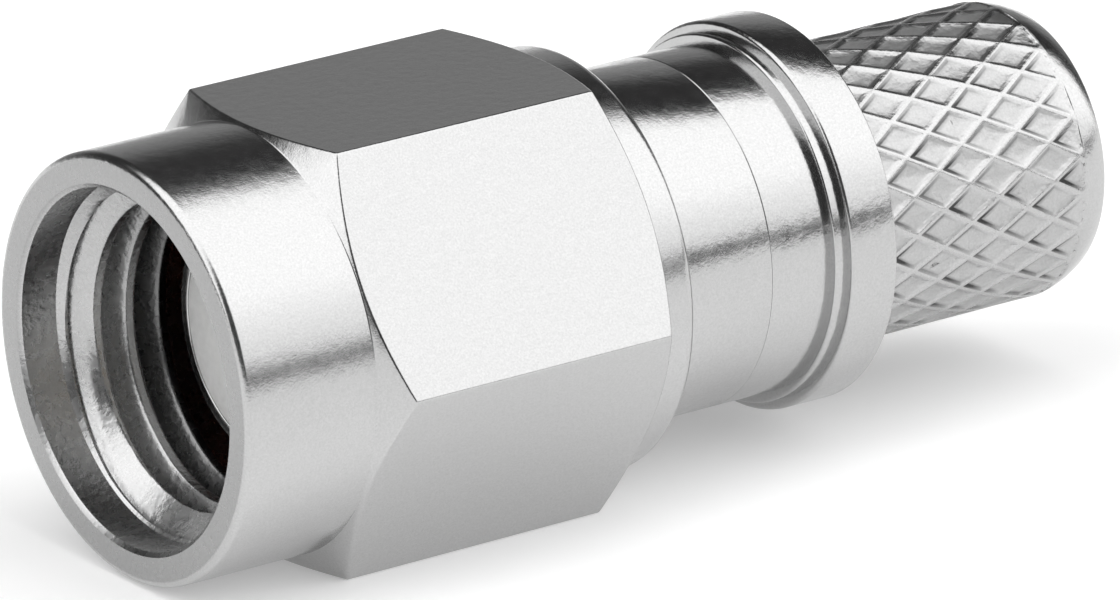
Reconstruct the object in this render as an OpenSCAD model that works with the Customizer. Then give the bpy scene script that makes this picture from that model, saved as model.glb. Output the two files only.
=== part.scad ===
// Straight coaxial crimp plug with a free-turning hexagonal coupling nut.
// The axis is X: the mating end faces -X and the cable leaves towards +X.
// X = 0 is the reference plane, where the shell's sleeve meets the mating jack.
// The plug lies on one flat of its nut, so Z = -nut_across_flats / 2 is the bench.

/* [Coupling nut] */
// Size of the hexagon across its flats
nut_across_flats = 8; // [7.6:0.05:9.6]
// How far the flats stand above the round collar in front of them and the land behind
flat_rise = 0.05; // [0.02:0.01:0.2]
// How far the nut's front face stands ahead of the reference plane
nut_reach = 2.8; // [2.3:0.05:3.4]
// Length of the round collar
nut_collar_length = 2.75; // [2.2:0.05:3]
// Length of the hexagon, chamfers included
nut_hex_length = 6.3; // [5.7:0.05:7.6]
// Length of the round land behind the hexagon
nut_land_length = 0.68; // [0.4:0.02:1.2]
// Angle between a hexagon chamfer and the nut's end face
hex_chamfer_angle = 30; // [20:1:40]
// Rounding of the nut's two outer end edges
nut_edge_radius = 0.16; // [0.05:0.01:0.25]

/* [Coupling thread] */
// Inside diameter of the thread's crests
thread_minor_d = 5.64; // [5.5:0.02:5.8]
// Depth of the thread's grooves from crest to root, which sets the plain mouth
thread_depth = 0.48; // [0.4:0.01:0.6]
// Depth of the plain mouth
mouth_depth = 0.8; // [0.4:0.05:1]
// Distance from the last thread crest to the reference plane
thread_end_gap = 0.06; // [0.02:0.02:0.2]
// Depth of the relief behind the thread, from the crests
relief_depth = 0.43; // [0.4:0.01:0.55]

/* [Shell] */
// Wall of the mating sleeve around the insulator
sleeve_wall = 0.23; // [0.2:0.01:0.4]
// Length of the sleeve that enters the jack
sleeve_length = 2; // [1.9:0.05:2.5]
// Radial gap between the shell's shoulder and the nut's relief
shoulder_gap = 0.15; // [0.05:0.05:0.3]
// Length of the shoulder that backs the gasket
shoulder_length = 0.9; // [0.6:0.05:1.2]
// Wall left between the ring's seat and the insulator
seat_wall = 0.415; // [0.35:0.005:0.5]
// How far the body behind the nut stands above the hub on which the nut turns
body_rise = 0.34; // [0.25:0.01:0.6]
// Wall of that body around the pressed boss
body_wall = 0.64; // [0.5:0.01:0.8]
// Length of the shell's own part of that body
shell_body_length = 2.05; // [1.6:0.05:3]
// Edge break on turned corners
edge_break = 0.07; // [0.02:0.01:0.12]
// Smaller edge break on both sides of the seam with the crimp body
seam_break = 0.03; // [0.01:0.01:0.1]

/* [Retaining ring] */
// Thickness of the ring along the axis
ring_thickness = 0.56; // [0.4:0.02:0.8]
// Width of the ring's section across the axis
ring_width = 0.76; // [0.7:0.02:0.9]
// Opening of the split in the ring
ring_split = 1.2; // [0.6:0.1:2]
// Depth of the ring's groove in the shell
ring_seat_depth = 0.45; // [0.35:0.01:0.5]

/* [Gasket] */
// Thickness of the gasket along the axis
gasket_thickness = 0.7; // [0.5:0.05:1]

/* [Insulator and contact] */
// Diameter of the insulator in the sleeve
insulator_d = 4.11; // [3.9:0.01:4.2]
// How far the insulator's rear collar stands above its front
insulator_rise = 0.295; // [0.2:0.005:0.35]
// Distance from the ring's seat back to that collar
collar_setback = 0.32; // [0.2:0.02:0.8]
// How far the contact's front stands behind the reference plane
contact_setback = 0.07; // [0:0.01:0.25]
// Diameter of the hole that takes the jack's pin
socket_bore_d = 0.93; // [0.9:0.01:1]
// Wall of the contact around that hole
socket_wall = 0.17; // [0.14:0.01:0.25]
// Depth of that hole
socket_depth = 2.8; // [2:0.1:3.4]
// Width of the four slots that let the socket spring
socket_slot = 0.12; // [0.08:0.01:0.15]
// Share of that hole's depth that the slots reach
socket_slot_share = 0.8; // [0.5:0.05:0.9]
// Diameter of the wire hole in the contact's crimp barrel
wire_hole_d = 1.5; // [1.2:0.05:1.8]
// Wall of the barrel around the wire
barrel_wall = 0.3; // [0.2:0.02:0.4]
// Depth of the wire hole
wire_hole_depth = 3.2; // [2.5:0.1:3.8]
// Diameter of the inspection hole in the barrel
inspection_hole_d = 0.75; // [0.4:0.05:1]
// Length of the contact behind the front of the insulator's collar
contact_tail_length = 4.4; // [4:0.1:4.8]
// Distance from the contact's end to the stop of the cable's dielectric
cable_stop_gap = 0.75; // [0.4:0.05:1.2]

/* [Crimp body] */
// Length of the plain part that continues the shell's body
plain_length = 1.1; // [0.8:0.05:2]
// Length of the boss pressed into the shell
boss_length = 1.9; // [1.5:0.05:2]
// How far the step in front of the flange stands above the body
step_rise = 0.16; // [0.08:0.01:0.3]
// Length of that step, its chamfer included
step_length = 0.24; // [0.15:0.01:0.4]
// How far the flange stands above that step
flange_rise = 0.18; // [0.1:0.01:0.4]
// Length of the flange, its front chamfer included
flange_length = 1.2; // [0.8:0.05:1.6]
// Wall of the knurled spigot around the cable's bore
spigot_wall = 0.77; // [0.6:0.01:1]
// Length of the spigot
spigot_length = 5.6; // [4:0.1:7]
// Length of the plain tapered nose at the spigot's end
nose_length = 0.66; // [0.4:0.02:1]
// How much smaller the radius is at the end of that nose
nose_drop = 0.22; // [0.1:0.02:0.3]
// How the taper steepens towards the end: 1 is a straight cone
nose_curve = 1.6; // [1:0.1:2.5]
// Diameter of the bore that takes the cable's dielectric
cable_bore_d = 4.06; // [3.6:0.02:4.2]
// Chamfer at the mouth of that bore
cable_bore_chamfer = 0.14; // [0.05:0.01:0.25]
// Radial space around the contact's barrel
chamber_gap = 0.6; // [0.4:0.05:0.7]

/* [Knurl] */
// Number of diamonds around the spigot
knurl_count = 24; // [16:1:30]
// Angle of the knurl's ridges to the axis
knurl_angle = 30; // [25:1:40]
// Depth of the diamond pits
knurl_depth = 0.14; // [0.08:0.01:0.18]
// Share of the pitch that a ridge takes at full diameter
ridge_share = 0.24; // [0.15:0.01:0.4]
// Plain gap between the flange and the first pits
knurl_gap = 0.02; // [0.01:0.01:0.3]

/* [Clearances] */
// Radial gap of parts that turn on each other
running_gap = 0.06; // [0.02:0.01:0.09]
// Radial gap of parts that are pushed together
push_gap = 0.01; // [0.005:0.005:0.02]
// Axial play of the nut and of its ring
axial_play = 0.06; // [0.03:0.01:0.15]

/* [Hidden] */
$fn = 96;

// Diameters, from the axis outwards
socket_d = socket_bore_d + 2 * socket_wall;
barrel_d = wire_hole_d + 2 * barrel_wall;
chamber_d = barrel_d + 2 * chamber_gap;
insulator_collar_d = insulator_d + 2 * insulator_rise;
insulator_bore_d = insulator_d + 2 * push_gap;
sleeve_d = insulator_bore_d + 2 * sleeve_wall;
ring_seat_d = insulator_bore_d + 2 * seat_wall;
hub_d = ring_seat_d + 2 * ring_seat_depth;
body_d = hub_d + 2 * body_rise;
boss_d = body_d - 2 * (body_wall + push_gap);
step_d = body_d + 2 * step_rise;
flange_d = step_d + 2 * flange_rise;
spigot_d = cable_bore_d + 2 * spigot_wall;
ring_inner_d = ring_seat_d + 2 * running_gap;
ring_outer_d = ring_inner_d + 2 * ring_width;
ring_groove_d = ring_outer_d + 2 * running_gap;
nut_bore_d = hub_d + 2 * running_gap;
mouth_d = thread_minor_d + 2 * thread_depth;
relief_d = thread_minor_d + 2 * relief_depth;
shoulder_d = relief_d - 2 * shoulder_gap;
nut_collar_d = nut_across_flats - 2 * flat_rise;
hex_corner_d = nut_across_flats / cos(30);

// Stations along X, from the mating end to the cable end
nut_front_x = -nut_reach;
hex_front_x = nut_front_x + nut_collar_length;
hex_rear_x = hex_front_x + nut_hex_length;
nut_rear_x = hex_rear_x + nut_land_length;
shoulder_x = sleeve_length + gasket_thickness;
seat_x = shoulder_x + shoulder_length;
hub_x = seat_x + ring_thickness + 2 * axial_play;
body_x = nut_rear_x + 2 * axial_play;
seam_x = body_x + shell_body_length;
boss_x = seam_x - boss_length;
step_x = seam_x + plain_length;
flange_x = step_x + step_length;
spigot_x = flange_x + flange_length;
end_x = spigot_x + spigot_length;
nose_x = end_x - nose_length;
contact_x = contact_setback;
collar_x = hub_x + collar_setback;
barrel_end_x = collar_x + contact_tail_length;
cable_stop_x = barrel_end_x + cable_stop_gap;
thread_end_x = -thread_end_gap;
thread_start_x = nut_front_x + mouth_depth + thread_depth;

// One diamond of the knurl: half its length along the axis and half its width
diamond_half_width = PI * spigot_d / knurl_count / 2;
diamond_half_length = diamond_half_width / tan(knurl_angle);
// A pit's floor is this share of its mouth
pit_floor = 0.72;
// Cutting tools stand this far outside what they cut
over = 0.05;
// Sizes of a pit's floor, its mouth and the top of its cutter, as shares of a diamond
pit_share = 1 - ridge_share;
floor_share = pit_share * pit_floor;
cutter_share = pit_share + (pit_share - floor_share) * over / knurl_depth;

// A turned solid: outer and inner list [station, radius] from -X to +X
module turned(outer, inner) {
    rotate([0, 90, 0])
        rotate_extrude()
            polygon([for (p = concat(outer, reversed(inner))) [p[1], p[0]]]);
}

function reversed(list) = [for (i = [len(list) - 1 : -1 : 0]) list[i]];

// Points of a convex quarter round, from the end face at x to the side at radius r.
// side is 1 for a front edge, which faces -X, and -1 for a rear edge.
function edge_round(x, r, size, side) =
    let (arc = [for (a = [0 : 30 : 90])
        [x + side * size * (1 - sin(a)), r - size * (1 - cos(a))]])
    side > 0 ? reversed(arc) : arc;

// A hexagonal bar along X, with two of its flats facing +Z and -Z
module hex_bar(x, length) {
    translate([x, 0, 0])
        rotate([0, 90, 0])
            rotate([0, 0, 30])
                cylinder(d = hex_corner_d, h = length, $fn = 6);
}

// What is milled off a turned blank to leave the hexagon
module outside_hexagon(x, length) {
    difference() {
        translate([x, 0, 0])
            rotate([0, 90, 0])
                cylinder(d = 2 * hex_corner_d, h = length);
        hex_bar(x - over, length + 2 * over);
    }
}

module coupling_nut() {
    collar_r = nut_collar_d / 2;
    blank_r = hex_corner_d / 2 + over;
    cone = (blank_r - collar_r) * tan(hex_chamfer_angle);
    mouth_break = mouth_d / 2 + edge_break;
    groove_x = seat_x - axial_play;
    groove_end_x = hub_x + axial_play;
    color("silver")
        difference() {
            turned(
                concat(
                    edge_round(nut_front_x, collar_r, nut_edge_radius, 1),
                    [
                        [hex_front_x, collar_r],
                        [hex_front_x + cone, blank_r],
                        [hex_rear_x - cone, blank_r],
                        [hex_rear_x, collar_r]
                    ],
                    edge_round(nut_rear_x, collar_r, nut_edge_radius, -1)
                ),
                [
                    [nut_front_x, mouth_break],
                    [nut_front_x + edge_break, mouth_d / 2],
                    [nut_front_x + mouth_depth, mouth_d / 2],
                    [thread_start_x, thread_minor_d / 2],
                    [thread_end_x, thread_minor_d / 2],
                    [thread_end_x, relief_d / 2],
                    [groove_x, relief_d / 2],
                    [groove_x, ring_groove_d / 2],
                    [groove_end_x, ring_groove_d / 2],
                    [groove_end_x, nut_bore_d / 2],
                    [nut_rear_x - edge_break, nut_bore_d / 2],
                    [nut_rear_x, nut_bore_d / 2 + edge_break]
                ]
            );
            outside_hexagon(hex_front_x, nut_hex_length);
        }
}

// The split ring that ties the nut to the shell and lets it turn
module retaining_ring() {
    color("goldenrod")
        difference() {
            turned(
                [for (x = [0, ring_thickness]) [seat_x + axial_play + x, ring_outer_d / 2]],
                [for (x = [0, ring_thickness]) [seat_x + axial_play + x, ring_inner_d / 2]]
            );
            translate([seat_x - over, -ring_split / 2, 0])
                cube([ring_thickness + 2 * axial_play + 2 * over, ring_split, ring_outer_d]);
        }
}

// The seal that the jack's front face presses against the shell's shoulder
module gasket() {
    color("orangered")
        turned(
            [for (x = [sleeve_length, shoulder_x]) [x, shoulder_d / 2 - push_gap]],
            [for (x = [sleeve_length, shoulder_x]) [x, sleeve_d / 2 + push_gap]]
        );
}

// The front body: mating sleeve, gasket shoulder, ring seat, hub and body
module outer_shell() {
    bore_r = insulator_bore_d / 2;
    collar_bore_r = insulator_collar_d / 2 + push_gap;
    boss_bore_r = boss_d / 2 + push_gap;
    color("silver")
        turned(
            [
                [0, sleeve_d / 2 - edge_break],
                [edge_break, sleeve_d / 2],
                [shoulder_x, sleeve_d / 2],
                [shoulder_x, shoulder_d / 2],
                [seat_x, shoulder_d / 2],
                [seat_x, ring_seat_d / 2],
                [hub_x, ring_seat_d / 2],
                [hub_x, hub_d / 2],
                [body_x, hub_d / 2],
                [body_x, body_d / 2 - edge_break],
                [body_x + edge_break, body_d / 2],
                [seam_x - seam_break, body_d / 2],
                [seam_x, body_d / 2 - seam_break]
            ],
            [
                [0, bore_r],
                [collar_x, bore_r],
                [collar_x, collar_bore_r],
                [boss_x, collar_bore_r],
                [boss_x, boss_bore_r],
                [seam_x, boss_bore_r]
            ]
        );
}

module insulator() {
    color("white")
        turned(
            [
                [0, insulator_d / 2],
                [collar_x, insulator_d / 2],
                [collar_x, insulator_collar_d / 2],
                [boss_x, insulator_collar_d / 2]
            ],
            [
                [0, socket_d / 2 + push_gap],
                [collar_x, socket_d / 2 + push_gap],
                [collar_x, barrel_d / 2 + push_gap],
                [boss_x, barrel_d / 2 + push_gap]
            ]
        );
}

// Socket contact: slotted spring socket in front, crimp barrel behind
module centre_contact() {
    hole_x = barrel_end_x - wire_hole_depth;
    slot_length = socket_slot_share * socket_depth + over;
    color("gold")
        difference() {
            turned(
                [
                    [contact_x, socket_d / 2 - edge_break],
                    [contact_x + edge_break, socket_d / 2],
                    [collar_x, socket_d / 2],
                    [collar_x, barrel_d / 2],
                    [barrel_end_x, barrel_d / 2]
                ],
                [
                    [contact_x, socket_bore_d / 2],
                    [contact_x + socket_depth, socket_bore_d / 2],
                    [contact_x + socket_depth, 0],
                    [hole_x, 0],
                    [hole_x, wire_hole_d / 2],
                    [barrel_end_x, wire_hole_d / 2]
                ]
            );
            for (turn = [0, 90])
                rotate([turn, 0, 0])
                    translate([contact_x - over, -socket_slot / 2, -socket_d])
                        cube([slot_length, socket_slot, 2 * socket_d]);
            // Inspection hole at the bottom of the wire hole
            translate([hole_x + inspection_hole_d, 0, 0])
                cylinder(d = inspection_hole_d, h = barrel_d);
        }
}

// One pit of the knurl, cut from outside: a diamond that narrows to its floor
module pit() {
    top_r = spigot_d / 2 + over;
    floor_r = spigot_d / 2 - knurl_depth;
    corners = [[1, 0], [0, 1], [-1, 0], [0, -1]];
    function ring(share, z) = [for (c = corners)
        [c[0] * share * diamond_half_length, c[1] * share * diamond_half_width, z]];
    polyhedron(
        points = concat(ring(floor_share, floor_r), ring(cutter_share, top_r)),
        faces = concat(
            [[0, 1, 2, 3], [7, 6, 5, 4]],
            [for (i = [0 : 3]) [i, i + 4, (i + 1) % 4 + 4, (i + 1) % 4]]
        )
    );
}

// Rows of pits, each turned by half a diamond from the row before
module knurl_pits() {
    first_x = spigot_x + knurl_gap + diamond_half_length * cutter_share;
    rows = round((nose_x - first_x) / diamond_half_length);
    for (row = [0 : rows], k = [0 : knurl_count - 1])
        rotate([(k + row / 2) * 360 / knurl_count, 0, 0])
            translate([first_x + row * diamond_half_length, 0, 0])
                pit();
}

// The rear body: pressed boss, plain band, flange and the knurled spigot that
// the cable's braid and its crimp ferrule are squeezed onto
module crimp_body() {
    spigot_r = spigot_d / 2;
    taper = nose_length - edge_break;
    color("silver")
        difference() {
            turned(
                [
                    [boss_x, boss_d / 2 - edge_break],
                    [boss_x + edge_break, boss_d / 2],
                    [seam_x, boss_d / 2],
                    [seam_x, body_d / 2 - seam_break],
                    [seam_x + seam_break, body_d / 2],
                    [step_x, body_d / 2],
                    [step_x + step_rise, step_d / 2],
                    [flange_x, step_d / 2],
                    [flange_x + flange_rise, flange_d / 2],
                    [spigot_x - edge_break, flange_d / 2],
                    [spigot_x, flange_d / 2 - edge_break],
                    [spigot_x, spigot_r],
                    for (s = [0 : 0.25 : 1])
                        [nose_x + s * taper, spigot_r - nose_drop * pow(s, nose_curve)],
                    [end_x, spigot_r - nose_drop - edge_break]
                ],
                [
                    [boss_x, chamber_d / 2],
                    [cable_stop_x, chamber_d / 2],
                    [cable_stop_x, cable_bore_d / 2],
                    [end_x - cable_bore_chamfer, cable_bore_d / 2],
                    [end_x, cable_bore_d / 2 + cable_bore_chamfer]
                ]
            );
            knurl_pits();
        }
}

coupling_nut();
retaining_ring();
gasket();
outer_shell();
insulator();
centre_contact();
crimp_body();
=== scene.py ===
"""Finished surfaces, materials and stage for a coaxial crimp plug.

The plug's axis is X: the mating end faces -X and the cable end faces +X.
Shapes are worked out in millimetres and scaled to metres as they become meshes.
"""

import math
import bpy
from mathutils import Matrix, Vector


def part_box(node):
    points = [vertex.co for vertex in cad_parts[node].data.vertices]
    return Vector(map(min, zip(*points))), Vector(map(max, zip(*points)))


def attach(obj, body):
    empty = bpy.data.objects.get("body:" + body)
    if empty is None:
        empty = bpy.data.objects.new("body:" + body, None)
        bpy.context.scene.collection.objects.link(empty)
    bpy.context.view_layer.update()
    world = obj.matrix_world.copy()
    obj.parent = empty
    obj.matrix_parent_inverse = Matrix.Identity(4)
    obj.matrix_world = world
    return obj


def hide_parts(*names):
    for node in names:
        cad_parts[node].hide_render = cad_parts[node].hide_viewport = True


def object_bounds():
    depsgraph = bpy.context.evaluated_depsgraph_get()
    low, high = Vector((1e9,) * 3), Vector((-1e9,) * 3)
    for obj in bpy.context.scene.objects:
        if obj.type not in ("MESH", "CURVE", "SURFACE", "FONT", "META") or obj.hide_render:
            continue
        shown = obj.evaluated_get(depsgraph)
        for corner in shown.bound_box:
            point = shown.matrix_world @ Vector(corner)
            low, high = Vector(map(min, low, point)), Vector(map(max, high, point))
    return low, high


bl_info = {
    "name": "Coaxial Crimp Plug",
    "version": (1, 0, 0),
    "blender": (4, 5, 0),
    "location": "View3D > Sidebar > Plug",
    "description": "Builds the turned, milled and knurled surfaces of a coaxial crimp plug",
    "category": "Object",
}

import bmesh
import bpy
from bpy.props import FloatProperty, FloatVectorProperty, IntProperty, PointerProperty
from bpy.types import Operator, Panel, PropertyGroup
from mathutils import Matrix, Vector, noise

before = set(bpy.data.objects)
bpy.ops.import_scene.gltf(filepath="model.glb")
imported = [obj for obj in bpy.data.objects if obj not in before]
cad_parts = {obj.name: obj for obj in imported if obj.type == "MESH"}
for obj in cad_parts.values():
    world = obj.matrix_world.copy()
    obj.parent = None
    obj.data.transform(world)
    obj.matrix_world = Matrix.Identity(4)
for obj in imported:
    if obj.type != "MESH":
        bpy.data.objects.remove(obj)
CAD_BOX = [list(point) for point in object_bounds()]
MM = 0.001


def node_box(node):
    """A node's lowest and highest corners in millimetres."""
    low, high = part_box(node)
    return Vector(low) / MM, Vector(high) / MM


NUT_LOW, NUT_HIGH = node_box("coupling_nut")
SHELL_LOW, SHELL_HIGH = node_box("outer_shell")
CRIMP_LOW, CRIMP_HIGH = node_box("crimp_body")
PLASTIC_LOW, PLASTIC_HIGH = node_box("insulator")
CONTACT_LOW, CONTACT_HIGH = node_box("centre_contact")
GASKET_LOW, GASKET_HIGH = node_box("gasket")
RING_LOW, RING_HIGH = node_box("retaining_ring")

# Fits between neighbouring pieces, in millimetres
PUSH_FIT = 0.01
SHELL_RING_PLAY = 0.06
NUT_RING_PLAY = 0.12
NUT_REAR_GAP = 0.12
CABLE_STOP_GAP = 0.75
SPIGOT_LENGTH = 5.6
PLASTIC_COLLAR_X = RING_HIGH.x + 0.38


def length(name, description, default_mm):
    return FloatProperty(
        name=name, description=description, default=default_mm * MM,
        min=0.0, unit="LENGTH", subtype="DISTANCE", precision=5,
    )


def angle(name, description, default_degrees):
    return FloatProperty(
        name=name, description=description, default=math.radians(default_degrees),
        unit="ROTATION", subtype="ANGLE",
    )


def colour(name, description, default):
    return FloatVectorProperty(
        name=name, description=description, default=default,
        size=3, min=0.0, max=1.0, subtype="COLOR",
    )


class NutSizes(PropertyGroup):
    across_flats: length("Across flats", "Width of the hexagon", 2 * NUT_HIGH.z)
    collar_length: length("Collar length", "Length of the round collar", 2.75)
    hex_length: length("Hexagon length", "Length of the hexagon, chamfers included", 6.3)
    flat_rise: length("Flat rise", "How far the flats stand above the collar", 0.05)
    chamfer_angle: angle("Chamfer angle", "Hexagon chamfer, from the end face", 30)
    mouth_radius: length("Mouth radius", "Radius of the plain mouth", 3.3)
    mouth_depth: length("Mouth depth", "Depth of the plain mouth", 0.8)
    edge_round: length("End rounding", "Rounding of the two outer end edges", 0.14)
    corner_round: length("Corner rounding", "Rounding of the hexagon's edges", 0.035)
    bore_radius: length("Bore radius", "Radius of the bore on the hub", 2.99)
    relief_radius: length("Relief radius", "Radius behind the thread", 3.25)
    groove_radius: length("Groove radius", "Radius of the ring's groove", 3.36)
    pitch: length("Thread pitch", "Advance of the thread in one turn", 0.7056)
    crest_radius: length("Crest radius", "Radius of the thread's crests", 2.82)
    crest_width: length("Crest width", "Width of the flat on a crest", 0.18)
    thread_end: length("Thread end", "From the reference plane to the thread's end", 0.12)


class BodySizes(PropertyGroup):
    sleeve_radius: length("Sleeve radius", "Outside radius of the mating sleeve", 2.295)
    sleeve_bore: length("Sleeve bore", "Inside radius of the mating sleeve", 2.065)
    hub_radius: length("Hub radius", "Radius of the hub that the nut turns on", 2.93)
    seat_radius: length("Ring seat radius", "Radius of the ring's seat", 2.48)
    edge_round: length("Edge rounding", "Rounding of the turned edges", 0.03)
    seam_round: length("Seam rounding", "Edge break on both sides of the seam", 0.02)
    step_rise: length("Step rise", "Height of the step in front of the flange", 0.18)
    step_length: length("Step length", "Length of that step", 0.24)
    flange_length: length("Flange length", "Length of the flange", 1.02)
    plain_length: length("Plain length", "Length from the seam to the step", 1.28)
    boss_radius: length("Boss radius", "Radius of the boss inside the shell", 2.62)
    chamber_radius: length("Chamber radius", "Radius around the contact", 1.65)
    cable_bore: length("Cable bore", "Radius of the cable's bore", 2.03)


class KnurlSizes(PropertyGroup):
    radius: length("Spigot radius", "Radius over the knurl's ridges", 2.8)
    count: IntProperty(
        name="Diamonds", description="Diamonds round the spigot", default=24, min=8,
    )
    angle: angle("Ridge angle", "Angle of the ridges to the axis", 30)
    depth: length("Pit depth", "Depth of the pits", 0.06)
    ridge: length("Ridge width", "Flat width of a ridge between two pits", 0.055)
    pit_round: length("Pit corner", "Rounding of a pit's corners", 0.09)
    nose_length: length("Nose length", "Length of the plain nose", 0.66)
    nose_drop: length("Nose drop", "How much the nose tapers on the radius", 0.22)
    turn: angle("Knurl turn", "Place of the first row of pits round the axis", 1.95)
    first_pit: length("First pit", "Distance from the flange to the first pits' centres", 0.46)
    unevenness: length("Unevenness", "Random height of the rolled surface", 0.008)


class ContactSizes(PropertyGroup):
    socket_radius: length("Socket radius", "Outside radius of the socket", 0.635)
    bore_radius: length("Pin hole radius", "Radius of the hole for the jack's pin", 0.465)
    bore_depth: length("Pin hole depth", "Depth of that hole", 2.8)
    slot_width: length("Slot width", "Width of the socket's slots", 0.12)
    slot_share: FloatProperty(
        name="Slot share", description="Share of the hole's depth that the slots reach",
        default=0.8, min=0.1, max=0.95, subtype="FACTOR",
    )
    barrel_radius: length("Barrel radius", "Radius of the crimp barrel", 1.05)
    wire_radius: length("Wire hole radius", "Radius of the wire hole", 0.75)
    wire_depth: length("Wire hole depth", "Depth of the wire hole", 3.2)


class Finishes(PropertyGroup):
    plating: colour("Plating", "Nickel plate", (0.52, 0.52, 0.52))
    plastic: colour("Insulator", "White insulator", (0.92, 0.92, 0.91))
    gold: colour("Gold plate", "Plating of the centre contact", (0.85, 0.62, 0.25))
    bronze: colour("Spring bronze", "Retaining ring", (0.55, 0.36, 0.18))
    rubber: colour("Gasket", "Silicone rubber", (0.4, 0.09, 0.04))


class StageSizes(PropertyGroup):
    floor_size: FloatProperty(
        name="Floor size", description="Width of the floor", default=4.0,
        min=0.1, unit="LENGTH", subtype="DISTANCE",
    )
    azimuth: angle("Camera azimuth", "Camera's bearing round the plug", -35.41)
    elevation: angle("Camera elevation", "Camera's height above the horizon", 19.37)
    roll: angle("Camera roll", "Camera's roll", -1.08)
    distance: length("Camera distance", "Camera's distance from its target", 220.0)
    target: length("Target", "Point on the axis that the camera looks at", 7.2)
    side_step: FloatProperty(
        name="Side step", description="Camera's step to its right",
        default=-0.377 * MM, unit="LENGTH", subtype="DISTANCE", precision=5,
    )
    rise: FloatProperty(
        name="Rise", description="Camera's step upwards",
        default=-0.821 * MM, unit="LENGTH", subtype="DISTANCE", precision=5,
    )
    lens: FloatProperty(
        name="Lens", description="Focal length", default=390.8,
        min=1.0, unit="CAMERA",
    )


# ---------------------------------------------------------------- shapes


def share_of(value):
    """Keeps a value between 0 and 1."""
    return min(1.0, max(0.0, value))


def corner(x, r, size=0.0):
    """A point of a turned outline: its station, its radius and its rounding."""
    return x, r, size


def outline_wire(bm, points):
    """Lays a closed outline in the XZ plane and rounds its corners."""
    verts = [bm.verts.new((x, 0.0, r)) for x, r, _ in points]
    for a, b in zip(verts, verts[1:] + verts[:1]):
        bm.edges.new((a, b))
    for size in sorted({p[2] for p in points if p[2] > 0}):
        chosen = [v for v, p in zip(verts, points) if p[2] == size and v.is_valid]
        bmesh.ops.bevel(
            bm, geom=chosen, offset=size, offset_type="OFFSET", segments=4,
            profile=0.5, affect="VERTICES", clamp_overlap=True, material=-1,
        )


def turn(bm, points, steps=256):
    """Turns a closed outline about X into a closed solid."""
    outline_wire(bm, points)
    bmesh.ops.spin(
        bm, geom=bm.verts[:] + bm.edges[:], cent=(0, 0, 0), axis=(1, 0, 0), dvec=(0, 0, 0),
        angle=math.tau, steps=steps, use_merge=True, use_duplicate=False,
    )
    bmesh.ops.remove_doubles(bm, verts=bm.verts[:], dist=1e-5)
    # An outline's edge on the axis sweeps no face
    bmesh.ops.delete(bm, geom=[e for e in bm.edges if not e.link_faces], context="EDGES")
    bmesh.ops.recalc_face_normals(bm, faces=bm.faces[:])


def wear_and_shade_layers(bm):
    """Two values on each vertex: rough, where the metal is dull, and painted shade, how far its
    colour is darkened.
    """
    return [bm.verts.layers.float.new(name) for name in ("rough", "painted_shade")]


def axis_distance(v):
    return math.hypot(v.co.y, v.co.z)


def merge_into(bm, other):
    """Adds another bmesh's shells to this one."""
    mesh = bpy.data.meshes.new("shells")
    other.to_mesh(mesh)
    other.free()
    bm.from_mesh(mesh)
    bpy.data.meshes.remove(mesh)


def finish_piece(bm, name, node, material, body, sharp=35.0):
    """Scales a bmesh to metres and makes it the piece that stands for a node."""
    bmesh.ops.scale(bm, vec=(MM, MM, MM), verts=bm.verts[:])
    for face in bm.faces:
        face.smooth = True
    mesh = bpy.data.meshes.new(name)
    bm.to_mesh(mesh)
    bm.free()
    mesh.set_sharp_from_angle(angle=math.radians(sharp))
    mesh.materials.append(material)
    piece = bpy.data.objects.new(name, mesh)
    bpy.context.scene.collection.objects.link(piece)
    weighted = piece.modifiers.new("Even shading", "WEIGHTED_NORMAL")
    weighted.mode = "FACE_AREA"
    weighted.keep_sharp = True
    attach(piece, body)
    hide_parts(node)
    return piece


def mill_hexagon(bm, half_width):
    """Cuts six flats on a turned blank and closes each cut."""
    for k in range(6):
        turned = math.radians(30 + 60 * k)
        normal = Vector((0, math.cos(turned), math.sin(turned)))
        cut = bmesh.ops.bisect_plane(
            bm, geom=bm.verts[:] + bm.edges[:] + bm.faces[:], dist=1e-6,
            plane_co=normal * half_width, plane_no=normal, clear_outer=True,
        )
        edges = [g for g in cut["geom_cut"] if isinstance(g, bmesh.types.BMEdge)]
        bmesh.ops.contextual_create(bm, geom=edges)


def round_hexagon(bm, half_width, size):
    """Rounds the edges round each flat."""
    def on_flat(face):
        turned = round((math.degrees(math.atan2(face.normal.z, face.normal.y)) - 30) / 60)
        flat = math.radians(30 + 60 * turned)
        out = Vector((0, math.cos(flat), math.sin(flat)))
        square = face.normal.dot(out) > 0.9999
        return square and face.calc_center_median().dot(out) > half_width - 1e-3

    bm.normal_update()
    flats = {f for f in bm.faces if on_flat(f)}
    edges = [
        e for e in bm.edges
        if any(f in flats for f in e.link_faces) and e.calc_face_angle(0) > 0.2
    ]
    bmesh.ops.bevel(
        bm, geom=edges, offset=size, offset_type="OFFSET", segments=3,
        profile=0.5, affect="EDGES", clamp_overlap=True, material=-1,
    )


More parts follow.
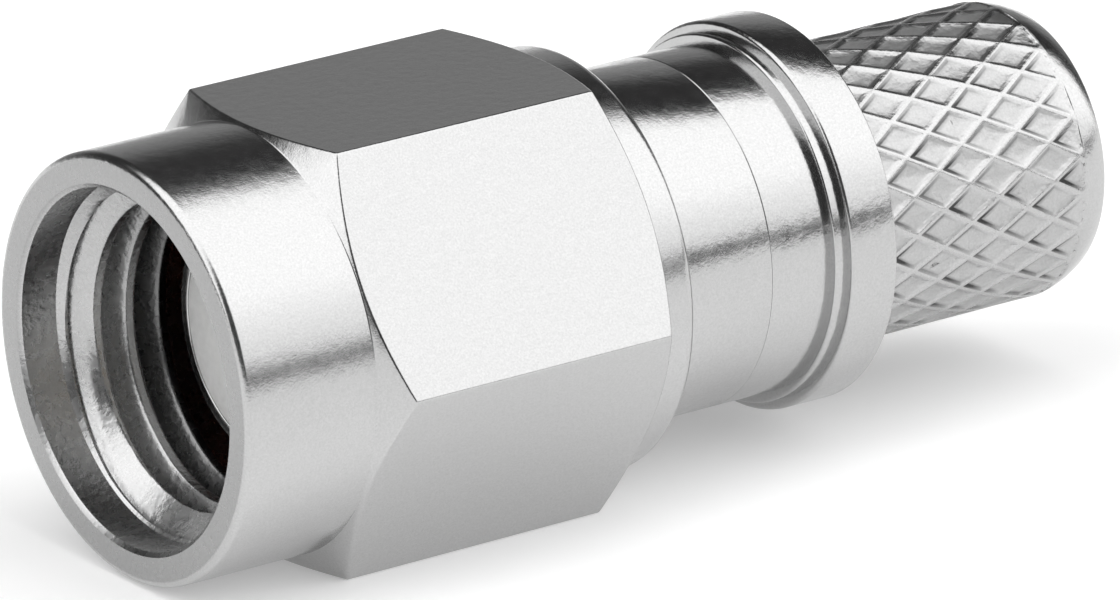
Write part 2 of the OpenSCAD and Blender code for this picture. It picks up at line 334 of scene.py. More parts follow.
def thread_ridge(p, front, mouth):
    """The coupling thread: one ridge swept along a right-handed helix."""
    pitch, crest = p.pitch / MM, p.crest_radius / MM
    root = p.relief_radius / MM
    # The ridge's base is sunk a little into the wall of the nut
    base = root + 0.02
    flank_angle = math.radians(30)
    half_crest = p.crest_width / MM / 2
    half_base = half_crest + (base - crest) * math.tan(flank_angle)
    end = p.thread_end / MM
    cone_start = front + p.mouth_depth / MM
    turns, steps_a_turn = 4.5, 160
    # One and a half turns behind its start, the crest's centre passes this station
    centre = -1.435
    start_angle = math.radians(3.5 - 180)
    start = centre - pitch * 1.5

    def is_crest_corner(v):
        beside = abs(abs(v.co.x - start) - half_crest) < 1e-6
        return beside and abs(axis_distance(v) - crest) < 1e-6

    bm = bmesh.new()
    section = [(-half_base, base), (-half_crest, crest), (half_crest, crest), (half_base, base)]
    verts = []
    for x, r in section:
        spot = Matrix.Rotation(start_angle, 3, "X") @ Vector((start + x, r, 0))
        verts.append(bm.verts.new(spot))
    bm.faces.new(verts)
    bmesh.ops.subdivide_edges(bm, edges=bm.edges[:], cuts=5, use_grid_fill=False)
    bmesh.ops.bevel(
        bm, geom=[v for v in bm.verts if is_crest_corner(v)],
        offset=0.025, offset_type="OFFSET", segments=3, profile=0.5,
        affect="VERTICES", clamp_overlap=True, material=-1,
    )
    bmesh.ops.spin(
        bm, geom=bm.verts[:] + bm.edges[:] + bm.faces[:], cent=(0, 0, 0), axis=(1, 0, 0),
        dvec=(pitch / steps_a_turn, 0, 0), angle=math.tau * turns,
        steps=round(steps_a_turn * turns), use_merge=False, use_duplicate=False,
    )
    bmesh.ops.recalc_face_normals(bm, faces=bm.faces[:])
    # The lead-in cone has cut the first turns back, into the wall of the nut
    for v in bm.verts:
        r = axis_distance(v)
        lowest = min(mouth - (v.co.x - cone_start), mouth + 0.1)
        if r > root:
            lowest += 0.05
        if r < lowest:
            v.co.y *= lowest / r
            v.co.z *= lowest / r
        v.co.x = max(v.co.x, front + 0.2)
    cut = bmesh.ops.bisect_plane(
        bm, geom=bm.verts[:] + bm.edges[:] + bm.faces[:], dist=1e-6,
        plane_co=(end, 0, 0), plane_no=(1, 0, 0), clear_outer=True,
    )
    edges = [g for g in cut["geom_cut"] if isinstance(g, bmesh.types.BMEdge)]
    bmesh.ops.holes_fill(bm, edges=edges, sides=0)
    bmesh.ops.recalc_face_normals(bm, faces=bm.faces[:])
    return bm


def build_nut(p, material):
    front, rear = NUT_LOW.x, NUT_HIGH.x
    half_width = p.across_flats / MM / 2
    collar = half_width - p.flat_rise / MM
    hex_front = front + p.collar_length / MM
    hex_rear = hex_front + p.hex_length / MM
    blank = half_width / math.cos(math.radians(30)) + 0.05
    cone = (blank - collar) * math.tan(p.chamfer_angle)
    mouth, relief = p.mouth_radius / MM, p.relief_radius / MM
    groove, bore = p.groove_radius / MM, p.bore_radius / MM
    mouth_end = front + p.mouth_depth / MM
    seat_front, seat_rear = RING_LOW.x - NUT_RING_PLAY, RING_HIGH.x + NUT_RING_PLAY
    edge, chamfer = p.edge_round / MM, 0.07
    bm = bmesh.new()
    turn(bm, [
        corner(front, collar, edge),
        corner(hex_front, collar, 0.02),
        corner(hex_front + cone, blank),
        corner(hex_rear - cone, blank),
        corner(hex_rear, collar, 0.02),
        corner(rear, collar, edge * 1.6),
        corner(rear, bore + chamfer),
        corner(rear - chamfer, bore),
        corner(seat_rear, bore),
        corner(seat_rear, groove),
        corner(seat_front, groove),
        corner(seat_front, relief),
        corner(mouth_end + 0.05, relief),
        corner(mouth_end, mouth),
        corner(front + chamfer, mouth),
        corner(front, mouth + 0.08),
    ])
    mill_hexagon(bm, half_width)
    round_hexagon(bm, half_width, p.corner_round / MM)
    merge_into(bm, thread_ridge(p, front, mouth))
    rough, painted_shade = wear_and_shade_layers(bm)
    for v in bm.verts:
        # The front face is dull, and darkened with painted shade
        if v.co.x < front + 1e-3:
            v[rough], v[painted_shade] = 0.6, 0.27
        elif axis_distance(v) < groove:
            # Painted shade: the thread is dull, and darkened more the deeper it lies in the nut
            v[rough], v[painted_shade] = 0.55, 0.1 + 0.5 * share_of((v.co.x - front - 1.6) / 1.2)
    return finish_piece(bm, "nut_body", "coupling_nut", material, "nut")


def build_shell(p, material):
    e, seam = p.edge_round / MM, p.seam_round / MM
    sleeve, bore = p.sleeve_radius / MM, p.sleeve_bore / MM
    hub, seat = p.hub_radius / MM, p.seat_radius / MM
    body = SHELL_HIGH.z
    shoulder = GASKET_HIGH.z + PUSH_FIT
    seat_front, seat_rear = RING_LOW.x - SHELL_RING_PLAY, RING_HIGH.x + SHELL_RING_PLAY
    body_x = NUT_HIGH.x + NUT_REAR_GAP
    collar_bore = PLASTIC_HIGH.z + PUSH_FIT
    boss_x, boss_bore = CRIMP_LOW.x, p.boss_radius / MM + PUSH_FIT
    bm = bmesh.new()
    turn(bm, [
        corner(0.0, sleeve, 0.05),
        corner(GASKET_HIGH.x, sleeve),
        corner(GASKET_HIGH.x, shoulder, e),
        corner(seat_front, shoulder, e),
        corner(seat_front, seat),
        corner(seat_rear, seat),
        corner(seat_rear, hub, e),
        corner(body_x, hub),
        corner(body_x, body, 0.05),
        corner(SHELL_HIGH.x, body, seam),
        corner(SHELL_HIGH.x, boss_bore),
        corner(boss_x, boss_bore),
        corner(boss_x, collar_bore),
        corner(PLASTIC_COLLAR_X, collar_bore),
        corner(PLASTIC_COLLAR_X, bore),
        corner(0.0, bore, 0.03),
    ])
    return finish_piece(bm, "shell_body", "outer_shell", material, "plug_body")


def nose_radius(k, x):
    """Radius of the turned nose at a station: straight, then a rounded taper."""
    start = CRIMP_HIGH.x - k.nose_length / MM
    share = max(0.0, (x - start) / (CRIMP_HIGH.x - start))
    return k.radius / MM - k.nose_drop / MM * share ** 1.7


# Steps of a pit from its mouth to its floor: how far each is inset, which share of the
# depth it drops, how rough it leaves the metal and how much painted shade darkens it
PIT_STEPS = (
    (0.02, 0.16, 0.7, 0.7),
    (0.05, 0.5, 1.2, 1.0),
    (0.03, 0.14, 2.0, 0.45),
    (0.08, 0.1, 2.0, 0.0),
)


def press_pit(bm, k, half_long, half_wide, rough, painted_shade):
    """One diamond of the knurl, laid flat: half a ridge all round and a pit inside."""
    depth = k.depth / MM
    bmesh.ops.create_grid(bm, x_segments=1, y_segments=1, size=0.5)
    for v in bm.verts:
        i, j = v.co.x, v.co.y
        v.co = Vector(((i + j) * half_long, (i - j) * half_wide, 0))
        v[rough] = 0.6
    pit = bm.faces[:][0]
    pit.normal_update()
    if pit.normal.z < 0:
        pit.normal_flip()
    bmesh.ops.inset_individual(
        bm, faces=[pit], thickness=k.ridge / MM / 2, depth=-0.12 * depth, use_even_offset=True,
    )
    bmesh.ops.bevel(
        bm, geom=pit.verts[:], offset=k.pit_round / MM, offset_type="OFFSET", segments=1,
        profile=0.5, affect="VERTICES", clamp_overlap=True, material=-1,
    )
    pit = min(bm.faces, key=lambda f: f.calc_center_median().xy.length + (len(f.verts) < 8))
    for inset, drop, dull, dark in PIT_STEPS:
        bmesh.ops.inset_individual(
            bm, faces=[pit], thickness=inset, depth=-drop * depth, use_even_offset=True,
        )
        for v in pit.verts:
            # Painted shade darkens the walls towards the mating end
            v[rough], v[painted_shade] = dull, dark * share_of(0.35 - 4 * v.co.x / half_long)
    poked = bmesh.ops.poke(bm, faces=[pit])
    bmesh.ops.translate(bm, vec=(0, 0, -0.08 * depth), verts=poked["verts"])


def run_out_pits(bm, k, rough, painted_shade):
    """Lets the pits fade before the nose and makes the rolled surface a little uneven."""
    radius, uneven = k.radius / MM, k.unevenness / MM
    plain = CRIMP_HIGH.x - 0.94 * k.nose_length / MM
    flange = CRIMP_HIGH.x - SPIGOT_LENGTH
    for station, side in ((flange - 0.02, -1), (plain + 0.04, 1)):
        bmesh.ops.bisect_plane(
            bm, geom=bm.verts[:] + bm.edges[:] + bm.faces[:], dist=1e-6,
            plane_co=(station, 0, 0), plane_no=(side, 0, 0), clear_outer=True,
        )
    for v in bm.verts:
        left = share_of((plain - v.co.x) / 0.15)
        r = axis_distance(v)
        bump = noise.noise(v.co * 3.1) + 0.5 * noise.noise(v.co * 8.3)
        wanted = radius + (r - radius + uneven * bump) * left
        lower = min(wanted, nose_radius(k, v.co.x) + 0.001)
        v.co.y *= lower / r
        v.co.z *= lower / r
        v[rough] *= left
        # The painted shade fades out with the pits and varies at random
        v[painted_shade] *= left * (0.75 + 0.8 * noise.noise(v.co * 2.3))


def close_sleeve(bm, radius, count):
    """Turns both open ends in to rings of points, one a diamond, and joins the rings."""
    edges = [e for e in bm.edges if e.is_boundary]
    made = bmesh.ops.extrude_edge_only(bm, edges=edges)["geom"]
    inner = [v for v in made if isinstance(v, bmesh.types.BMVert)]
    for v in inner:
        turned = math.tau / count * round(math.atan2(v.co.z, v.co.y) / math.tau * count)
        v.co.y, v.co.z = radius * math.cos(turned), radius * math.sin(turned)
    bmesh.ops.remove_doubles(bm, verts=inner, dist=1e-3)
    bmesh.ops.bridge_loops(bm, edges=[e for e in bm.edges if e.is_boundary])
    bmesh.ops.recalc_face_normals(bm, faces=bm.faces[:])
    if bm.calc_volume(signed=True) < 0:
        bmesh.ops.reverse_faces(bm, faces=bm.faces[:])


def knurl_sleeve(k):
    """Diamond knurl: one pit is pressed, repeated along a strip, bent and spun round."""
    radius, count = k.radius / MM, k.count
    half_wide = math.pi * radius / count
    half_long = half_wide / math.tan(k.angle)
    first = CRIMP_HIGH.x - SPIGOT_LENGTH + k.first_pit / MM
    rows = int((CRIMP_HIGH.x - first) / half_long) + 1
    bm = bmesh.new()
    rough, painted_shade = wear_and_shade_layers(bm)
    press_pit(bm, k, half_long, half_wide, rough, painted_shade)
    tile = bm.verts[:] + bm.edges[:] + bm.faces[:]
    for row in range(-1, rows):
        copy = bmesh.ops.duplicate(bm, geom=tile)
        verts = [g for g in copy["geom"] if isinstance(g, bmesh.types.BMVert)]
        spot = (first + row * half_long, (row % 2) * half_wide, 0)
        bmesh.ops.translate(bm, vec=spot, verts=verts)
    pattern = [g for g in tile if isinstance(g, bmesh.types.BMVert)]
    bmesh.ops.delete(bm, geom=pattern, context="VERTS")
    for v in bm.verts:
        turned, r = k.turn + v.co.y / radius, radius + v.co.z
        v.co = Vector((v.co.x, r * math.cos(turned), r * math.sin(turned)))
    bmesh.ops.spin(
        bm, geom=bm.verts[:] + bm.edges[:] + bm.faces[:], cent=(0, 0, 0), axis=(1, 0, 0),
        dvec=(0, 0, 0), angle=math.tau * (count - 1) / count, steps=count - 1,
        use_merge=False, use_duplicate=True,
    )
    bmesh.ops.remove_doubles(bm, verts=bm.verts[:], dist=2e-4)
    run_out_pits(bm, k, rough, painted_shade)
    close_sleeve(bm, radius - 0.35, count)
    return bm


def build_crimp_body(p, k, material):
    e, seam = p.edge_round / MM, p.seam_round / MM
    boss, chamber, bore = p.boss_radius / MM, p.chamber_radius / MM, p.cable_bore / MM
    body = SHELL_HIGH.z
    step = body + p.step_rise / MM
    flange = CRIMP_HIGH.z + 0.02
    seam_x = SHELL_HIGH.x
    step_x = seam_x + p.plain_length / MM
    flange_x = step_x + p.step_length / MM
    spigot_x = flange_x + p.flange_length / MM
    stop_x = CONTACT_HIGH.x + CABLE_STOP_GAP
    # The turned core stays under the knurl and comes out at the nose
    core = k.radius / MM - 0.2
    end, chamfer = CRIMP_HIGH.x, 0.14
    nose = [
        corner(x, nose_radius(k, x))
        for x in (end - left * k.nose_length / MM for left in (0.92, 0.7, 0.5, 0.35, 0.2, 0.1))
    ]
    nose_x, nose_r, _ = nose[0]
    bm = bmesh.new()
    wear_and_shade_layers(bm)
    turn(bm, [
        corner(CRIMP_LOW.x, boss, e),
        corner(seam_x, boss),
        corner(seam_x, body, seam),
        corner(step_x, body),
        corner(step_x, step, 0.05),
        corner(flange_x, step),
        corner(flange_x, flange, 0.08),
        corner(spigot_x, flange, 0.05),
        corner(spigot_x, core),
        corner(nose_x - 0.1, core),
        corner(nose_x - 0.05, nose_r - 0.05),
        *nose,
        corner(end, nose_radius(k, end), 0.06),
        corner(end, bore + chamfer),
        corner(end - chamfer, bore),
        corner(stop_x, bore),
        corner(stop_x, chamber),
        corner(CRIMP_LOW.x, chamber),
    ])
    merge_into(bm, knurl_sleeve(k))
    return finish_piece(bm, "crimp_spigot", "crimp_body", material, "plug_body")


def build_insulator(p, c, material):
    bore, barrel = c.socket_radius / MM + PUSH_FIT, c.barrel_radius / MM + PUSH_FIT
    front, collar = p.sleeve_bore / MM - PUSH_FIT, PLASTIC_HIGH.z
    collar_x = PLASTIC_COLLAR_X
    bm = bmesh.new()
    turn(bm, [
        corner(0.0, front, 0.04),
        corner(collar_x, front),
        corner(collar_x, collar, 0.03),
        corner(PLASTIC_HIGH.x, collar, 0.03),
        corner(PLASTIC_HIGH.x, barrel),
        corner(collar_x, barrel),
        corner(collar_x, bore),
        corner(0.0, bore, 0.05),
    ], steps=192)
    return finish_piece(
        bm, "insulator_plug", "insulator", material, "plug_body",
    )


def build_contact(c, material):
    front, rear = CONTACT_LOW.x, CONTACT_HIGH.x
    socket, bore = c.socket_radius / MM, c.bore_radius / MM
    slot_end = front + c.slot_share * c.bore_depth / MM
    hole_end = front + c.bore_depth / MM
    barrel, wire = c.barrel_radius / MM, c.wire_radius / MM
    wire_start = rear - c.wire_depth / MM
    bm = bmesh.new()
    turn(bm, [
        corner(slot_end, socket),
        corner(PLASTIC_COLLAR_X, socket),
        corner(PLASTIC_COLLAR_X, barrel, 0.04),
        corner(rear, barrel, 0.05),
        corner(rear, wire, 0.05),
        corner(wire_start, wire),
        corner(wire_start, 0.0),
        corner(hole_end, 0.0),
        corner(hole_end, bore),
        corner(slot_end, bore),
    ], steps=96)
    # Four spring fingers with a slot between each two
    fingers = bmesh.new()
    outline_wire(fingers, [
        corner(front, socket, 0.05),
        corner(slot_end, socket),
        corner(slot_end, bore),
        corner(front, bore, 0.03),
    ])
    face = bmesh.ops.contextual_create(fingers, geom=fingers.edges[:])["faces"]
    half_slot = c.slot_width / MM / (socket + bore)
    bmesh.ops.rotate(
        fingers, cent=(0, 0, 0), matrix=Matrix.Rotation(half_slot, 3, "X"),
        verts=fingers.verts[:],
    )
    bmesh.ops.spin(
        fingers, geom=fingers.verts[:] + fingers.edges[:] + face, cent=(0, 0, 0), axis=(1, 0, 0),
        dvec=(0, 0, 0), angle=math.pi / 2 - 2 * half_slot, steps=20,
        use_merge=False, use_duplicate=False,
    )
    bmesh.ops.spin(
        fingers, geom=fingers.verts[:] + fingers.edges[:] + fingers.faces[:], cent=(0, 0, 0),
        axis=(1, 0, 0), dvec=(0, 0, 0), angle=math.tau * 3 / 4, steps=3,
        use_merge=False, use_duplicate=True,
    )
    bmesh.ops.recalc_face_normals(fingers, faces=fingers.faces[:])
    merge_into(bm, fingers)
    return finish_piece(
        bm, "contact_socket", "centre_contact", material, "plug_body",
    )


# ------------------------------------------------------------- materials


FLOAT, COLOUR, VECTOR = "NodeSocketFloat", "NodeSocketColor", "NodeSocketVector"


class Nodes:
    """Short hand for laying out a node tree."""

    def __init__(self, tree):
        self.tree = tree
        self.column = 0

    def add(self, kind, label="", **values):
        node = self.tree.nodes.new(kind)
        self.column += 1
        node.location = (190 * (self.column % 9), -260 * (self.column // 9))
        if label:
            node.label = label
        for key, value in values.items():
            setattr(node, key, value)
        return node

    def link(self, source, target):
        self.tree.links.new(source, target)

    def noise(self, label, vector, scale, detail):
        """A noise texture; its scale is a number or a socket."""
        node = self.add("ShaderNodeTexNoise", label)
        node.inputs["Detail"].default_value = detail
        self.link(vector, node.inputs["Vector"])
        if hasattr(scale, "links"):
            self.link(scale, node.inputs["Scale"])
        else:
            node.inputs["Scale"].default_value = scale
        return node

    def maths(self, operation, a, b=None):
        """A Math node; each value is a number or a socket."""
        node = self.add("ShaderNodeMath", operation=operation)
        for socket, value in zip(node.inputs, (a, b)):
            if hasattr(value, "links"):
                self.link(value, socket)
            elif value is not None:
                socket.default_value = value
        return node.outputs[0]

    def multiply(self, label, a, b):
        """Two colours multiplied."""
        node = self.add("ShaderNodeMix", label, data_type="RGBA", blend_type="MULTIPLY")
        node.inputs["Factor"].default_value = 1.0
        self.link(a, node.inputs["A"])
        self.link(b, node.inputs["B"])
        return node.outputs["Result"]

    def ramp(self, source, stops):
        """A ramp through stops of a place and a grey or a colour."""
        node = self.add("ShaderNodeValToRGB")
        ramp = node.color_ramp
        while len(ramp.elements) < len(stops):
            ramp.elements.new(0.5)
        for element, (place, value) in zip(ramp.elements, stops):
            element.position = place
            element.color = (*([value] * 3 if isinstance(value, (int, float)) else value), 1)
        self.link(source, node.inputs["Fac"])
        return node.outputs["Color"]

    def group(self, tree, **values):
        """Places a node group with its own values."""
        node = self.add("ShaderNodeGroup", tree.name, node_tree=tree)
        for key, value in values.items():
            node.inputs[key].default_value = value
        return node

    def surface(self, height, distance):
        """A Principled surface that a height roughens, joined to the material's output."""
        bump = self.add("ShaderNodeBump")
        bump.inputs["Strength"].default_value = 1.0
        bump.inputs["Distance"].default_value = distance
        self.link(height, bump.inputs["Height"])
        surface = self.add("ShaderNodeBsdfPrincipled")
        self.link(bump.outputs["Normal"], surface.inputs["Normal"])
        out = self.add("ShaderNodeOutputMaterial")
        self.link(surface.outputs["BSDF"], out.inputs["Surface"])
        return surface


def new_material(name):
    """An empty material and its node tree."""
    material = bpy.data.materials.new(name)
    material.use_nodes = True
    material.node_tree.nodes.clear()
    return material, Nodes(material.node_tree)


def new_group(name, inputs):
    """A shader node group that puts out a height, a roughness and a shade."""
    group = bpy.data.node_groups.new(name, "ShaderNodeTree")
    for label, kind, default in inputs:
        socket = group.interface.new_socket(name=label, in_out="INPUT", socket_type=kind)
        if default is not None:
            socket.default_value = default
    for label, kind in (("Height", FLOAT), ("Roughness", FLOAT), ("Shade", COLOUR)):
        group.interface.new_socket(name=label, in_out="OUTPUT", socket_type=kind)
    n = Nodes(group)
    return group, n, n.add("NodeGroupInput").outputs


def put_out(n, height, roughness, shade):
    """Joins a group's three results to its outputs."""
    out = n.add("NodeGroupOutput")
    n.link(height, out.inputs["Height"])
    n.link(roughness, out.inputs["Roughness"])
    n.link(shade, out.inputs["Shade"])


def satin_grain_group():
    """Fine grain of a satin plated surface."""
    group, n, given = new_group("Satin grain", (
        ("Vector", VECTOR, None),
        ("Grain", FLOAT, 30000.0),
        ("Wander", FLOAT, 0.3),
        ("Roughness", FLOAT, 0.2),
        ("Shade", COLOUR, (0.6, 0.6, 0.6, 1)),
    ))
    fine = n.noise("Fine grain", given["Vector"], given["Grain"], 3.0)
    fine.inputs["Roughness"].default_value = 0.6
    wave_scale = n.maths("MULTIPLY", given["Grain"], 0.2)
    wave = n.noise("Slow waves", given["Vector"], wave_scale, 2.0).outputs["Fac"]
    wave_height = n.maths("MULTIPLY", wave, n.maths("MULTIPLY", given["Wander"], 6.0))
    uneven = n.maths("MULTIPLY", n.maths("SUBTRACT", wave, 0.5), 0.12)
    mottle = n.ramp(fine.outputs["Fac"], [(0.3, 0.88), (0.7, 1.02)])
    put_out(
        n,
        height=n.maths("ADD", fine.outputs["Fac"], wave_height),
        roughness=n.maths("ADD", given["Roughness"], uneven),
        shade=n.multiply("Shade", given["Shade"], mottle),
    )
    return group


def wear_and_shade_group():
    """Dull and dented places, and painted shade, as a piece's own values say."""
    group, n, given = new_group("Worked places", (
        ("Vector", VECTOR, None),
        ("Height", FLOAT, 0.0),
        ("Roughness", FLOAT, 0.2),
        ("Shade", COLOUR, (0.6, 0.6, 0.6, 1)),
        ("Dullness", FLOAT, 0.15),
        ("Dent grain", FLOAT, 7500.0),
        ("Dent height", FLOAT, 8.0),
    ))
    rough = n.add("ShaderNodeAttribute", "Rough places", attribute_name="rough").outputs["Fac"]
    # The second value is painted shade, which darkens the colour
    painted_shade = n.add("ShaderNodeAttribute", "Painted shade places", attribute_name="painted_shade").outputs["Fac"]
    dents = n.noise("Small dents", given["Vector"], given["Dent grain"], 2.0).outputs["Fac"]
    dented = n.maths("MULTIPLY", dents, given["Dent height"])
    dented = n.maths("MULTIPLY", dented, n.maths("MINIMUM", rough, 1.0))
    dull = n.maths("MULTIPLY", rough, given["Dullness"])
    # Painted shade: the colour darkens as the value rises
    painted_shade_factor = n.ramp(painted_shade, [(0.1, 1.0), (0.7, 0.12)])
    put_out(
        n,
        height=n.maths("ADD", given["Height"], dented),
        roughness=n.maths("ADD", given["Roughness"], dull),
        shade=n.multiply("Painted shade", given["Shade"], painted_shade_factor),
    )
    return group


def metal(name, shade, roughness, grain, satin, wear_and_shade=None, wander=0.3):
    """A plated metal with satin grain and, with the second group, dull dented places and painted
    shade.
    """
    material, n = new_material(name)
    place = n.add("ShaderNodeTexCoord").outputs["Object"]
    layer = n.group(satin, Grain=grain, Wander=wander, Roughness=roughness, Shade=(*shade, 1))
    n.link(place, layer.inputs["Vector"])
    if wear_and_shade:
        under, layer = layer, n.group(wear_and_shade)
        n.link(place, layer.inputs["Vector"])
        for key in ("Height", "Roughness", "Shade"):
            n.link(under.outputs[key], layer.inputs[key])
    surface = n.surface(layer.outputs["Height"], 2.0e-6)
    surface.inputs["Metallic"].default_value = 1.0
    n.link(layer.outputs["Shade"], surface.inputs["Base Color"])
    n.link(layer.outputs["Roughness"], surface.inputs["Roughness"])
    return material


def soft_solid(name, shade, roughness, grain, depth):
    """A matt plastic or rubber with a faint mottle."""
    material, n = new_material(name)
    place = n.add("ShaderNodeTexCoord").outputs["Object"]
    mottle = n.noise("Mottle", place, grain, 3.0).outputs["Fac"]
    surface = n.surface(mottle, depth)
    low = tuple(c * 0.93 for c in shade)
    n.link(n.ramp(mottle, [(0.35, low), (0.65, shade)]), surface.inputs["Base Color"])
    surface.inputs["Roughness"].default_value = roughness
    return material


def finishes():
    """The plug's materials, made once."""
    made = bpy.data.materials
    if "Nut nickel" not in made:
        f = bpy.context.scene.plug_finishes
        satin, wear_and_shade = satin_grain_group(), wear_and_shade_group()
        # Both nickels also take the pieces' painted shade
        metal("Nut nickel", f.plating, 0.19, 26000.0, satin, wear_and_shade)
        metal("Body nickel", f.plating, 0.17, 24000.0, satin, wear_and_shade, wander=0.45)
        metal("Contact gold", f.gold, 0.22, 20000.0, satin)
        metal("Ring bronze", f.bronze, 0.3, 20000.0, satin)
        soft_solid("Insulator white", f.plastic, 0.45, 6000.0, 2.0e-6)
        soft_solid("Gasket red", f.rubber, 0.6, 9000.0, 3.0e-6)
    return made


# ------------------------------------------------------------- operators


class PLUG_OT_nut(Operator):
    """Build the coupling nut with its hexagon and thread"""

    bl_idname = "plug.nut"
    bl_label = "Coupling Nut"

    def execute(self, context):
        build_nut(context.scene.plug_nut, finishes()["Nut nickel"])
        return {"FINISHED"}


class PLUG_OT_shell(Operator):
    """Build the outer shell with its mating sleeve"""

    bl_idname = "plug.shell"
    bl_label = "Outer Shell"

    def execute(self, context):
        build_shell(context.scene.plug_body, finishes()["Body nickel"])
        return {"FINISHED"}


class PLUG_OT_crimp_body(Operator):
    """Build the crimp body with its flange and knurled spigot"""

    bl_idname = "plug.crimp_body"
    bl_label = "Crimp Body"

    def execute(self, context):
        scene = context.scene
        build_crimp_body(scene.plug_body, scene.plug_knurl, finishes()["Body nickel"])
        return {"FINISHED"}


class PLUG_OT_insides(Operator):
    """Build the insulator and the contact, and finish the ring and the gasket"""

    bl_idname = "plug.insides"
    bl_label = "Insulator and Contact"

    def execute(self, context):
        scene = context.scene
        made = finishes()
        build_insulator(scene.plug_body, scene.plug_contact, made["Insulator white"])
        build_contact(scene.plug_contact, made["Contact gold"])
        for node, name in (("retaining_ring", "Ring bronze"), ("gasket", "Gasket red")):
            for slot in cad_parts[node].material_slots:
                slot.material = made[name]
        return {"FINISHED"}


class PLUG_OT_stage(Operator):
    """Set the floor, the studio light and the camera"""

    bl_idname = "plug.stage"
    bl_label = "Stage"

    def execute(self, context):
        stage = context.scene.plug_stage
        build_floor(stage)
        build_light()
        build_camera(stage)
        context.scene.view_settings.view_transform = "Standard"
        return {"FINISHED"}


def background_ray(n):
    """1 for rays that see the background, directly or in metal and glass."""
    path = n.add("ShaderNodeLightPath").outputs
    mirrored = n.maths("MAXIMUM", path["Is Glossy Ray"], path["Is Transmission Ray"])
    return n.maths("MAXIMUM", path["Is Camera Ray"], mirrored)


def build_floor(stage):
    bm = bmesh.new()
    bmesh.ops.create_grid(bm, x_segments=8, y_segments=8, size=stage.floor_size / 2)
    bmesh.ops.translate(bm, vec=(0, 0, CAD_BOX[0][2]), verts=bm.verts[:])
    mesh = bpy.data.meshes.new("floor")
    bm.to_mesh(mesh)
    bm.free()
    material, n = new_material("Floor white")
    surface = n.add("ShaderNodeBsdfPrincipled")
    surface.inputs["Base Color"].default_value = (0.85, 0.85, 0.85, 1)
    surface.inputs["Roughness"].default_value = 1.0
    surface.inputs["Specular IOR Level"].default_value = 0.0
    surface.inputs["Emission Color"].default_value = (1, 1, 1, 1)
    n.link(n.maths("MULTIPLY", background_ray(n), 0.25), surface.inputs["Emission Strength"])
    out = n.add("ShaderNodeOutputMaterial")
    n.link(surface.outputs["BSDF"], out.inputs["Surface"])
    mesh.materials.append(material)
    floor = bpy.data.objects.new("floor", mesh)
    bpy.context.scene.collection.objects.link(floor)


# Light of the studio round the plug's axis: 0 is the horizon at the back, 0.5 is overhead
# and 1 is the horizon in front. The soft box starts past the top, and fades at the front.
BACK_LIGHT = (
    (0.0, 0.2), (0.11, 0.17), (0.17, 0.12), (0.21, 0.06), (0.25, 0.025), (0.42, 0.01),
    (0.45, 0.02), (0.468, 1.0),
)
FRONT_LIGHT = (
    (0.5, 1.0), (0.76, 1.0), (0.84, 0.85), (0.93, 0.72), (0.954, 0.66), (0.962, 0.02),
    (1.0, 0.02),
)


def build_light():
    """A long soft box over the front, a dark ceiling and a grey back wall."""
    world = bpy.data.worlds.new("Studio")
    bpy.context.scene.world = world
    world.use_nodes = True
    world.node_tree.nodes.clear()
    n = Nodes(world.node_tree)
    split = n.add("ShaderNodeSeparateXYZ")
    n.link(n.add("ShaderNodeTexCoord").outputs["Generated"], split.inputs["Vector"])
    x, y, z = (split.outputs[key] for key in "XYZ")
    turned = n.maths("DIVIDE", n.maths("ARCTAN2", z, y), math.pi)
    # Towards the mating end the soft box reaches further back
    ahead = n.maths("SUBTRACT", 0.55, n.maths("MINIMUM", x, 0.55))
    back = n.ramp(n.maths("ADD", turned, n.maths("MULTIPLY", ahead, 0.183)), BACK_LIGHT)
    soft_box = n.multiply("Long soft box", back, n.ramp(turned, FRONT_LIGHT))
    # The room beyond the mating end is dark
    low = n.ramp(turned, [(0.6, 0.0), (0.67, 1.0)])
    beyond = n.ramp(n.maths("ADD", x, 1.0), [(0.75, 1.0), (0.92, 0.0)])
    room = n.add("ShaderNodeMix", "Room", data_type="RGBA")
    n.link(n.maths("MULTIPLY", low, beyond), room.inputs["Factor"])
    n.link(soft_box, room.inputs["A"])
    room.inputs["B"].default_value = (0.04, 0.04, 0.04, 1)
    studio = n.add("ShaderNodeBackground")
    studio.inputs["Strength"].default_value = 1.93
    n.link(room.outputs["Result"], studio.inputs["Color"])
    white = n.add("ShaderNodeBackground")
    white.inputs["Color"].default_value = (1, 1, 1, 1)
    white.inputs["Strength"].default_value = 1.0
    # The camera sees plain white, and the plug is lit by the studio
    mix = n.add("ShaderNodeMixShader")
    n.link(n.add("ShaderNodeLightPath").outputs["Is Camera Ray"], mix.inputs["Fac"])
    n.link(studio.outputs["Background"], mix.inputs[1])
    n.link(white.outputs["Background"], mix.inputs[2])
    out = n.add("ShaderNodeOutputWorld")
    n.link(mix.outputs["Shader"], out.inputs["Surface"])


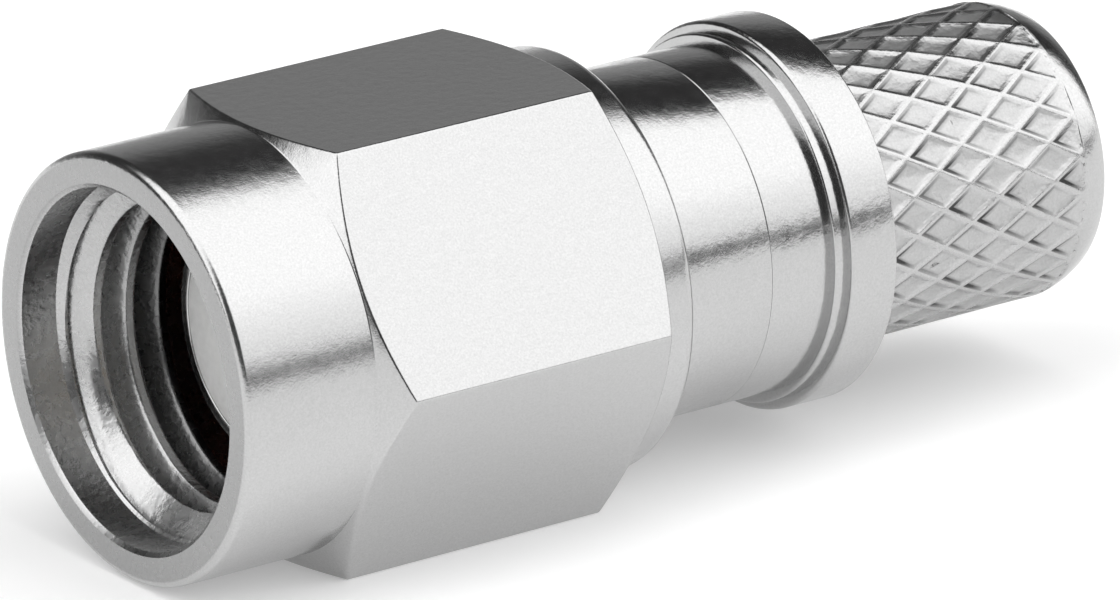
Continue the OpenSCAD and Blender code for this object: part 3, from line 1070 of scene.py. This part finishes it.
def build_camera(stage):
    data = bpy.data.cameras.new("camera")
    data.lens = stage.lens
    data.sensor_width = 36.0
    data.clip_start, data.clip_end = 0.005, 50.0
    camera = bpy.data.objects.new("camera", data)
    bpy.context.scene.collection.objects.link(camera)
    a, e, roll = stage.azimuth, stage.elevation, stage.roll
    back = Vector((math.sin(a) * math.cos(e), -math.cos(a) * math.cos(e), math.sin(e)))
    level = Vector((math.cos(a), math.sin(a), 0))
    upright = back.cross(level)
    right = level * math.cos(roll) + upright * math.sin(roll)
    up = upright * math.cos(roll) - level * math.sin(roll)
    spot = Vector((stage.target, 0, 0)) + back * stage.distance
    spot += right * stage.side_step + up * stage.rise
    facing = Matrix((right, up, back)).transposed().to_4x4()
    camera.matrix_world = Matrix.Translation(spot) @ facing
    bpy.context.scene.camera = camera


class PLUG_PT_panel(Panel):
    """Lists the plug's pieces in the sidebar"""

    bl_idname = "PLUG_PT_panel"
    bl_label = "Coaxial Crimp Plug"
    bl_space_type = "VIEW_3D"
    bl_region_type = "UI"
    bl_category = "Plug"

    def draw(self, context):
        for operator in OPERATORS:
            self.layout.operator(operator.bl_idname)
        for name in SETTINGS:
            group = getattr(context.scene, name)
            box = self.layout.box()
            for key in group.bl_rna.properties.keys():
                if key not in {"rna_type", "name"}:
                    box.prop(group, key)


OPERATORS = (PLUG_OT_nut, PLUG_OT_shell, PLUG_OT_crimp_body, PLUG_OT_insides, PLUG_OT_stage)
SETTINGS = {
    "plug_nut": NutSizes, "plug_body": BodySizes, "plug_knurl": KnurlSizes,
    "plug_contact": ContactSizes, "plug_finishes": Finishes, "plug_stage": StageSizes,
}


def register():
    for cls in (*SETTINGS.values(), *OPERATORS, PLUG_PT_panel):
        bpy.utils.register_class(cls)
    for name, cls in SETTINGS.items():
        setattr(bpy.types.Scene, name, PointerProperty(type=cls))


def unregister():
    for name in SETTINGS:
        delattr(bpy.types.Scene, name)
    for cls in (PLUG_PT_panel, *reversed(OPERATORS), *reversed(SETTINGS.values())):
        bpy.utils.unregister_class(cls)


def main():
    register()
    bpy.ops.plug.nut()
    bpy.ops.plug.shell()
    bpy.ops.plug.crimp_body()
    bpy.ops.plug.insides()
    bpy.ops.plug.stage()


if __name__ == "__main__":
    main()
